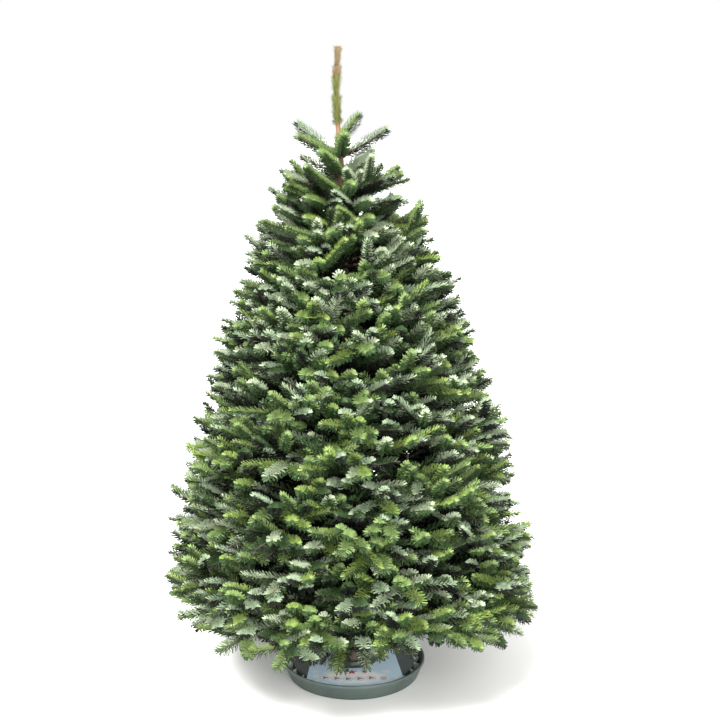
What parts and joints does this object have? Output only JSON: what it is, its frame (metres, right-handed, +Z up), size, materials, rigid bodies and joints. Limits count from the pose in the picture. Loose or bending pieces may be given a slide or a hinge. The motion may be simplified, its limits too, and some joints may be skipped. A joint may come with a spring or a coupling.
{
  "type": "cut noble fir christmas tree in a water stand",
  "caption": "Full, dense fir cut for Christmas, with tiered blue-green boughs and a slim leader, standing in a round shallow water tray with a printed card.",
  "frame": {"origin": "centre of the stand's flat underside, on the floor", "axes": "+Z up along the trunk, -Y the front, where the card shows, +X to the right seen from the front"},
  "size_m": [1.0002, 0.9685, 1.65],
  "materials": {
    "bark": "rough grey-brown young fir bark",
    "needles": "matt blue-green to yellow-green needles",
    "stand_plastic": "moulded dark grey-green polypropylene, satin",
    "card": "coated pale blue printed card"
  },
  "bodies": {
    "root": {"trunk": "bark", "leader_needles": "needles", "top_shoot_1": "needles", "top_shoot_2": "needles", "top_shoot_3": "needles", "top_shoot_4": "needles", "top_shoot_5": "needles", "top_shoot_6": "needles", "needles_1a": "needles", "bough_1a": "bark", "needles_1b": "needles", "bough_1b": "bark", "needles_1c": "needles", "bough_1c": "bark", "needles_2a": "needles", "bough_2a": "bark", "needles_2b": "needles", "bough_2b": "bark", "needles_2c": "needles", "bough_2c": "bark", "needles_3a": "needles", "bough_3a": "bark", "needles_3b": "needles", "bough_3b": "bark", "needles_3c": "needles", "bough_3c": "bark", "needles_4a": "needles", "bough_4a": "bark", "needles_4b": "needles", "bough_4b": "bark", "needles_4c": "needles", "bough_4c": "bark", "needles_5a": "needles", "bough_5a": "bark", "needles_5b": "needles", "bough_5b": "bark", "needles_5c": "needles", "bough_5c": "bark", "needles_6a": "needles", "bough_6a": "bark", "needles_6b": "needles", "bough_6b": "bark", "needles_6c": "needles", "bough_6c": "bark", "needles_7a": "needles", "bough_7a": "bark", "needles_7b": "needles", "bough_7b": "bark", "needles_7c": "needles", "bough_7c": "bark", "needles_8a": "needles", "needles_8b": "needles", "needles_8c": "needles", "needles_9a": "needles", "needles_9b": "needles", "needles_9c": "needles", "stand_tray": "stand_plastic", "stand_plate": "stand_plastic", "stand_ribs": "stand_plastic", "stand_card": "card"}
  },
  "joints": []
}
